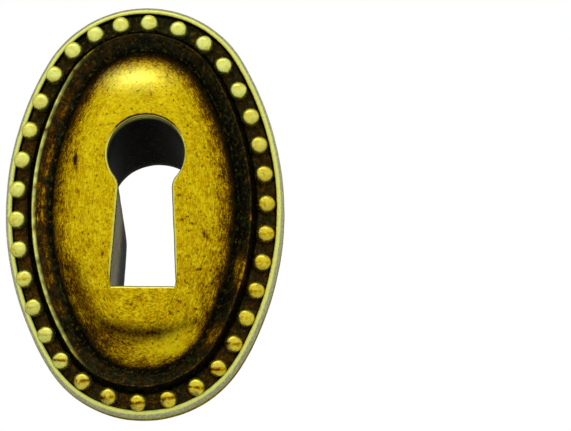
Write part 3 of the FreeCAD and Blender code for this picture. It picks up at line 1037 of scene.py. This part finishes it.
@dataclass(frozen=True)
class AntiqueBrass:
    """Cast brass, blackened in a bath, then rubbed back by hand and left unlacquered.

    The hollows keep a soft greenish black; where the cloth reached, the black thins through brown
    to bright yellow brass, which keeps pits and fine scratches filled with black.
    """

    wear: tuple[tuple[float, str], ...] = (
        (0.0, "#0B0B08"), (0.12, "#1F1F10"), (0.25, "#35220B"), (0.4, "#5C3E07"),
        (0.55, "#8A6907"), (0.7, "#A68609"), (0.86, "#C1A80A"), (1.0, "#D8C414"),
    )
    orange: str = "#E6CC70"
    pit: str = "#5C3E07"
    moss: str = "#39421C"
    # Colours of the painted highlights: pale yellow where faint, pale grey where strong.
    highlight_lemon: str = "#DCE47A"
    highlight_grey: str = "#96957C"
    # Dark brown of the painted reflection band at the crown's foot.
    band: str = "#2B0D03"
    edge: float = 0.3
    worn_roughness: float = 0.36
    black_roughness: float = 0.5
    # Clouds in the black are about a millimetre wide on a casting of this size.
    mottle: Pattern = Pattern(1.1, 5.0, 0.62)
    # Casting grit is about 0.05 mm, too fine to show here, so it is drawn four times as coarse.
    specks: Pattern = Pattern(0.22, 3.0, 0.6)
    # Rubbing streaks are about 0.1 mm apart, too fine to show, so they are drawn 0.5 mm wide.
    streaks: Pattern = Pattern(0.5, 4.0, 0.65)
    # Patches of warmer metal are about half a millimetre wide.
    patches: Pattern = Pattern(0.55, 4.0, 0.7)
    # Casting pits are 0.1 to 0.3 mm wide; they are drawn at the upper end, or none would show.
    pits: Pattern = Pattern(0.34, 2.0, 0.5)
    # Flecks of green in the black are about half a millimetre wide.
    flecks: Pattern = Pattern(0.5, 3.0, 0.6)
    # The painted reflection line on a bead breaks about every 0.6 mm.
    breaks: Pattern = Pattern(1 / 1.7, 2.0, 0.5)

    def build(self) -> bpy.types.Material:
        """Makes the node material.

        Returns:
            The material.
        """
        # Antique brass: near-black hollows that hardly mirror, and warm metal where it is rubbed.
        material = bpy.data.materials.new("antique_brass")
        material.use_nodes = True
        tree = material.node_tree
        tree.nodes.clear()
        add = partial(add_node, tree)
        # shade carries the painted reflection band, pale the painted highlights.
        rub, pale, shade = (
            add("ShaderNodeAttribute", attribute_name=name).outputs["Fac"] for name in FLOAT_LAYERS
        )
        grain, bead = (
            add("ShaderNodeAttribute", attribute_name=name).outputs["Vector"] for name in VECTOR_LAYERS
        )
        place = add("ShaderNodeTexCoord").outputs["Object"]
        stretched = add("ShaderNodeMapping", {"Vector": grain, "Scale": (1.0, 1.0, 4.0)})
        # Object coordinates are in metres, the two attributes in millimetres.
        mottle, specks, patches, pits, streaks, flecks, breaks = (
            add(
                "ShaderNodeTexNoise",
                {
                    "Vector": vector,
                    "Scale": unit / pattern.size,
                    "Detail": pattern.detail,
                    "Roughness": pattern.roughness,
                },
            )
            for pattern, vector, unit in (
                (self.mottle, place, 1000.0),
                (self.specks, place, 1000.0),
                (self.patches, place, 1000.0),
                (self.pits, place, 1000.0),
                (self.streaks, stretched, 1.0),
                (self.flecks, grain, 1.0),
                (self.breaks, bead, 1.0),
            )
        )
        line = self._bead_reflection_line(tree, bead, breaks)
        worn = self._worn(tree, rub, mottle, specks, streaks)
        worn = add("ShaderNodeMath", (worn, line), operation="SUBTRACT")

        ramp = add("ShaderNodeValToRGB", (worn,))
        elements = ramp.color_ramp.elements
        while len(elements) < len(self.wear):
            elements.new(0.5)
        for element, (position, colour) in zip(elements, self.wear):
            element.position = position
            element.color = linear(colour)

        pit_mask = add("ShaderNodeMapRange", (pits, 0.6, 0.72, 0.0, 0.9))
        black = add("ShaderNodeMapRange", (worn, 0.05, 0.4, 0.8, 0.0))
        fleck = add("ShaderNodeMapRange", (flecks, 0.54, 0.7, 0.0, 0.9))
        uneven = add("ShaderNodeMapRange", (specks, 0.3, 0.6, 0.8, 1.05))
        # Mask of the painted highlights: the pale layer made uneven, less the bead reflection line.
        highlight_mask = add("ShaderNodeMath", (pale, uneven), operation="MULTIPLY")
        highlight_mask = add("ShaderNodeMath", (highlight_mask, line), operation="SUBTRACT")
        # Mask of the painted reflection band, broken up by the specks.
        broken = add("ShaderNodeMapRange", (specks, 0.35, 0.62, 1.05, 0.88))
        layers = (
            ("MULTIPLY", self.orange, add("ShaderNodeMapRange", (patches, 0.48, 0.66, 0.0, 1.0))),
            ("MIX", self.pit, pit_mask),
            ("MIX", self.moss, add("ShaderNodeMath", (black, fleck), operation="MULTIPLY")),
            ("MIX", self.highlight_lemon, add("ShaderNodeMapRange", (highlight_mask, 0.0, 0.5, 0.0, 1.0))),
            ("MIX", self.highlight_grey, add("ShaderNodeMapRange", (highlight_mask, 0.5, 0.8, 0.0, 1.0))),
            ("MIX", self.band, add("ShaderNodeMath", (shade, broken), operation="MULTIPLY")),
        )
        colour = ramp.outputs["Color"]
        for mode, tint, mask in layers:
            # Of a colour mix, socket 0 is the factor, 6 and 7 are the colours and output 2 is the result.
            inputs = {0: mask, 6: colour, 7: linear(tint)}
            colour = add("ShaderNodeMix", inputs, data_type="RGBA", blend_type=mode).outputs[2]

        relief = add("ShaderNodeMath", (specks, 0.35, mottle), operation="MULTIPLY_ADD")
        relief = add("ShaderNodeMath", (pit_mask, -0.3, relief), operation="MULTIPLY_ADD")
        shader = add(
            "ShaderNodeBsdfPrincipled",
            {
                "Base Color": colour,
                "Metallic": 1.0,
                "Roughness": add(
                    "ShaderNodeMapRange", (worn, 0.1, 0.7, self.black_roughness, self.worn_roughness)
                ),
                "Specular Tint": (self.edge, self.edge, self.edge, 1.0),
                "Normal": add("ShaderNodeBump", {"Height": relief, "Strength": 0.4, "Distance": 0.00005}),
            },
        )
        add("ShaderNodeOutputMaterial", {"Surface": shader})
        return material

    @staticmethod
    def _worn(
        tree: bpy.types.NodeTree,
        rub: bpy.types.NodeSocket,
        mottle: bpy.types.Node,
        specks: bpy.types.Node,
        streaks: bpy.types.Node,
    ) -> bpy.types.Node:
        """How worn the finish is: the rub, made uneven most where it is neither black nor bright.

        Args:
            tree: the node tree.
            rub: how far the metal is rubbed.
            mottle: noise of clouds in the black.
            specks: noise of casting grit.
            streaks: noise of rubbing streaks.

        Returns:
            The node that gives it.
        """
        add = partial(add_node, tree)
        past_black = add("ShaderNodeMapRange", (rub, 0.02, 0.45, 0.12, 1.0))
        under_bright = add("ShaderNodeMapRange", (rub, 0.7, 0.95, 1.0, 0.42))
        amount = add("ShaderNodeMath", (past_black, under_bright), operation="MULTIPLY")
        mixed = add("ShaderNodeMath", (specks, 0.4), operation="MULTIPLY")
        mixed = add("ShaderNodeMath", (mottle, 0.35, mixed), operation="MULTIPLY_ADD")
        mixed = add("ShaderNodeMath", (streaks, 0.6, mixed), operation="MULTIPLY_ADD")
        swing = add("ShaderNodeMath", (mixed, 0.675), operation="SUBTRACT")
        swing = add("ShaderNodeMath", (swing, 2.7), operation="MULTIPLY")
        return add("ShaderNodeMath", (swing, amount, rub), operation="MULTIPLY_ADD")

    @staticmethod
    def _bead_reflection_line(
        tree: bpy.types.NodeTree, bead: bpy.types.NodeSocket, breaks: bpy.types.Node
    ) -> bpy.types.Node:
        """A fine broken dark line across the lower beads, a painted reflection.

        Args:
            tree: the node tree.
            bead: a point's place on its bead, with the line's strength in Z.
            breaks: noise that breaks the line.

        Returns:
            The node that gives how much the line takes off the rub.
        """
        add = partial(add_node, tree)
        parts = add("ShaderNodeSeparateXYZ", (bead,))
        away = add("ShaderNodeMath", (parts.outputs["Y"],), operation="ABSOLUTE")
        near = add("ShaderNodeMapRange", (away, 0.0, 0.24, 1.0, 0.0))
        left = add("ShaderNodeMapRange", (breaks, 0.34, 0.56, 0.1, 0.65))
        line = add("ShaderNodeMath", (near, left), operation="MULTIPLY")
        return add("ShaderNodeMath", (line, parts.outputs["Z"]), operation="MULTIPLY")


def linear(colour: str) -> tuple[float, float, float, float]:
    """Turns an sRGB hex colour to linear light.

    Args:
        colour: such as "#C9A60F".

    Returns:
        Red, green, blue and an alpha of 1.
    """
    parts = [int(colour[index:index + 2], 16) / 255 for index in (1, 3, 5)]
    red, green, blue = (c / 12.92 if c <= 0.04045 else ((c + 0.055) / 1.055) ** 2.4 for c in parts)
    return red, green, blue, 1.0


def add_node(
    tree: bpy.types.NodeTree, kind: str, inputs: dict | tuple = (), **settings: object
) -> bpy.types.Node:
    """Adds a node, sets it and links or fills its inputs.

    Args:
        tree: the node tree.
        kind: the node's type.
        inputs: what goes into the sockets, in their order or by name or index: a value, a socket
            to link, or a node, whose first output is linked.
        settings: properties of the node.

    Returns:
        The node.
    """
    node = tree.nodes.new(kind)
    for name, value in settings.items():
        setattr(node, name, value)
    for name, value in inputs.items() if isinstance(inputs, dict) else enumerate(inputs):
        if isinstance(value, bpy.types.Node):
            value = value.outputs[0]
        if isinstance(value, bpy.types.NodeSocket):
            tree.links.new(value, node.inputs[name])
        else:
            node.inputs[name].default_value = value
    return node


def add_object(name: str, data: bpy.types.ID) -> bpy.types.Object:
    """Makes an object of some data and links it to the scene."""
    thing = bpy.data.objects.new(name, data)
    bpy.context.scene.collection.objects.link(thing)
    return thing


@dataclass
class Dresser:
    """Makes the casting's object, gives it its finish and puts it on the frame."""

    casting: Casting = field(default_factory=Casting)
    beads: BeadRow = field(default_factory=BeadRow)
    finish: AntiqueBrass = field(default_factory=AntiqueBrass)

    def build(self) -> bpy.types.Object:
        """Builds the dressed casting, held inside the box of the solids.

        Returns:
            Its object.
        """
        mesh = bmesh.new()
        for name in FLOAT_LAYERS:
            mesh.verts.layers.float.new(name)
        for name in VECTOR_LAYERS:
            mesh.verts.layers.float_vector.new(name)
        self.beads.add(mesh)
        self.casting.skin(mesh)
        low, high = cad_box
        for vert in mesh.verts:
            vert.co = [min(high[axis], max(low[axis], vert.co[axis])) for axis in range(3)]
        bmesh.ops.recalc_face_normals(mesh, faces=mesh.faces)
        for face in mesh.faces:
            face.smooth = True
        data = bpy.data.meshes.new("escutcheon_casting")
        mesh.to_mesh(data)
        mesh.free()
        data.materials.append(self.finish.build())
        piece = add_object("escutcheon_casting", data)
        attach(piece, "root")
        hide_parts("escutcheon")
        log.info("%s: %d faces", piece.name, len(data.polygons))
        return piece


def direction(azimuth: float, elevation: float) -> Vector:
    """Turns degrees to the right of the front and degrees above it into a direction."""
    turn, rise = math.radians(azimuth), math.radians(elevation)
    return Vector((math.sin(turn) * math.cos(rise), -math.cos(turn) * math.cos(rise), math.sin(rise)))


@dataclass
class Studio:
    """White ground, soft light and the camera of the front view.

    The camera's distance is in millimetres, its scale in pixels of the picture for each
    millimetre, and origin_px is where the picture shows the frame's origin.
    """

    distance: float = 600.0
    azimuth: float = 3.3
    elevation: float = -13.5
    roll: float = -0.2
    sensor: float = 36.0
    scale: float = 10.86
    origin_px: tuple[float, float] = (145.95, 215.3)
    width: int = 571
    height: int = 431
    floor_z: float = -420.0
    floor_half: float = 3.0
    paper: str = "#F4F4F2"
    lamp_distance: float = 1.1

    def camera(self) -> bpy.types.Object:
        """Sets the camera so that the object stands where the picture's frame has it.

        Returns:
            The camera.
        """
        data = bpy.data.cameras.new("camera")
        data.sensor_width = self.sensor
        wide = self.width / self.scale
        data.lens = data.sensor_width * self.distance / wide
        data.clip_start = 0.01
        data.clip_end = 20.0
        camera = add_object("camera", data)
        back = direction(self.azimuth, self.elevation)
        look = back.to_track_quat("Z", "Y")
        right, up = look @ Vector((1, 0, 0)), look @ Vector((0, 1, 0))
        across = (self.width / 2 - self.origin_px[0]) / self.scale
        down = (self.height / 2 - self.origin_px[1]) / self.scale
        target = right * across - up * down
        camera.location = (target + back * self.distance) * MM
        camera.rotation_mode = "QUATERNION"
        camera.rotation_quaternion = look @ Matrix.Rotation(math.radians(self.roll), 3, "Z").to_quaternion()
        bpy.context.scene.camera = camera
        return camera

    def ground(self) -> bpy.types.Object:
        """Lays the plain pale floor.

        Returns:
            The floor.
        """
        mesh = bmesh.new()
        bmesh.ops.create_grid(mesh, x_segments=1, y_segments=1, size=self.floor_half)
        bmesh.ops.translate(mesh, verts=mesh.verts, vec=(0, 0, self.floor_z * MM))
        data = bpy.data.meshes.new("floor")
        mesh.to_mesh(data)
        mesh.free()
        floor = add_object("floor", data)
        # Matt paper, so that the ground shows no reflection.
        material = bpy.data.materials.new("floor_paper")
        material.use_nodes = True
        shader = material.node_tree.nodes["Principled BSDF"]
        shader.inputs["Base Color"].default_value = linear(self.paper)
        shader.inputs["Roughness"].default_value = 0.9
        data.materials.append(material)
        return floor

    def world(self) -> None:
        """White surroundings: full white to the eye and to reflections, plain light for the rest."""
        world = bpy.data.worlds.new("studio")
        bpy.context.scene.world = world
        world.use_nodes = True
        world.node_tree.nodes.clear()
        add = partial(add_node, world.node_tree)
        light, seen = (
            add("ShaderNodeBackground", {"Color": (1.0, 1.0, 1.0, 1.0), "Strength": strength})
            for strength in (0.8, 1.0)
        )
        rays = add("ShaderNodeLightPath").outputs
        eye = add("ShaderNodeMath", (rays["Is Camera Ray"], rays["Is Glossy Ray"]), operation="MAXIMUM")
        through = add("ShaderNodeMath", (eye, rays["Is Transmission Ray"]), operation="MAXIMUM")
        mix = add("ShaderNodeMixShader", (through, light, seen))
        add("ShaderNodeOutputWorld", {"Surface": mix})

    def softbox(
        self, name: str, azimuth: float, elevation: float, size: tuple[float, float], power: float
    ) -> bpy.types.Object:
        """Hangs one soft lamp that looks at the object.

        Args:
            name: its name.
            azimuth: degrees to the right of the object's front.
            elevation: degrees above it.
            size: width and height in metres.
            power: watts.

        Returns:
            The lamp.
        """
        data = bpy.data.lights.new(name, "AREA")
        data.shape = "RECTANGLE"
        data.size, data.size_y = size
        data.energy = power
        lamp = add_object(name, data)
        away = direction(azimuth, elevation)
        lamp.location = away * self.lamp_distance
        lamp.rotation_mode = "QUATERNION"
        lamp.rotation_quaternion = away.to_track_quat("Z", "Y")
        return lamp

    def build(self) -> None:
        """Sets up the whole studio."""
        self.world()
        self.ground()
        self.softbox("key_softbox", -12.0, 50.0, (0.7, 0.45), 2.2)
        self.camera()


def main() -> None:
    """Builds the pieces and the studio in order."""
    logging.basicConfig(level=logging.INFO, format="%(message)s")
    scene = bpy.context.scene
    scene.view_settings.view_transform = "Standard"
    # Without a seed, noise_vector takes the time for one and the ripples differ in each run.
    noise.seed_set(SEED)
    Dresser().build()
    Studio().build()


if __name__ == "__main__":
    main()
